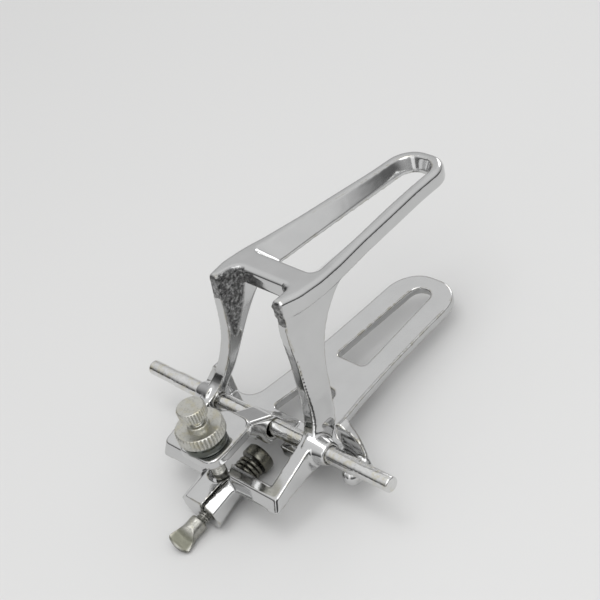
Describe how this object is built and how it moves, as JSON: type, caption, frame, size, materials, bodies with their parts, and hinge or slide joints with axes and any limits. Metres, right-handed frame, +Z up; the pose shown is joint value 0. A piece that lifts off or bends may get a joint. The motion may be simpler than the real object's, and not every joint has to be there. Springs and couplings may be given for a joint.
{
  "type": "dental articulator",
  "caption": "Chromed dental articulator: a looped upper arm hinges over a slotted lower plate on a cross pin, set by a stop screw with lock nut and a sprung wing screw.",
  "frame": {"origin": "centre of the bounding box in plan, at its lowest level", "axes": "+X across, along the cross pin; -Y to the front, where both loops point; +Z up, square to the lower plate"},
  "size_m": [0.0958, 0.1222, 0.0542],
  "materials": {
    "chrome_casting": "polished chrome over a cast arm",
    "bright_pin": "polished",
    "nickel_screw": "dull nickel",
    "dark_collar": "dark glossy steel",
    "spring_steel": "oiled spring steel"
  },
  "bodies": {
    "lower": {"lower_arm": "chrome_casting"},
    "pin": {"condylar_pin": "bright_pin"},
    "upper": {"upper_arm": "chrome_casting", "return_spring": "spring_steel"},
    "wing_rod": {"wing_screw": "nickel_screw", "spring_ring": "spring_steel"},
    "wing_thumb": {"thumb_piece": "nickel_screw"},
    "stop_rod": {"stop_screw": "nickel_screw"},
    "stop_head": {"stop_knob": "nickel_screw"},
    "nut_collar": {"lock_collar": "dark_collar"},
    "nut": {"lock_nut": "nickel_screw"}
  },
  "joints": [
    {"name": "protrusion", "type": "slide", "parent": "lower", "child": "pin", "axis": [0, 1, 0], "range_m": [0, 0.0005]},
    {"name": "opening", "type": "hinge", "parent": "pin", "child": "upper", "pos_m": [0, 0.02124, 0.01359], "axis": [-1, 0, 0], "range_deg": [0, 35]},
    {"name": "wing_travel", "type": "slide", "parent": "upper", "child": "wing_rod", "axis": [0, -0.9962, 0.0872], "range_m": [0, 0.001]},
    {"name": "wing_turn", "type": "hinge", "parent": "wing_rod", "child": "wing_thumb", "pos_m": [0, 0.05478, 0.00259], "axis": [0, -0.9962, 0.0872], "range_deg": [0, 514]},
    {"name": "stop_travel", "type": "slide", "parent": "lower", "child": "stop_rod", "axis": [0, 0, 1], "range_m": [0, 0.002]},
    {"name": "stop_turn", "type": "hinge", "parent": "stop_rod", "child": "stop_head", "pos_m": [0, 0.03974, 0.03459], "axis": [0, 0, 1], "range_deg": [0, 1028]},
    {"name": "nut_travel", "type": "slide", "parent": "lower", "child": "nut_collar", "axis": [0, 0, 1], "range_m": [0, 0.001]},
    {"name": "nut_turn", "type": "hinge", "parent": "nut_collar", "child": "nut", "pos_m": [0, 0.03974, 0.02759], "axis": [0, 0, 1], "range_deg": [0, 514]}
  ],
  "couplings": [
    {"joint": "wing_turn", "follows": "wing_travel", "rad_per_m": 8976},
    {"joint": "stop_turn", "follows": "stop_travel", "rad_per_m": 8976},
    {"joint": "nut_turn", "follows": "nut_travel", "rad_per_m": 8976}
  ]
}
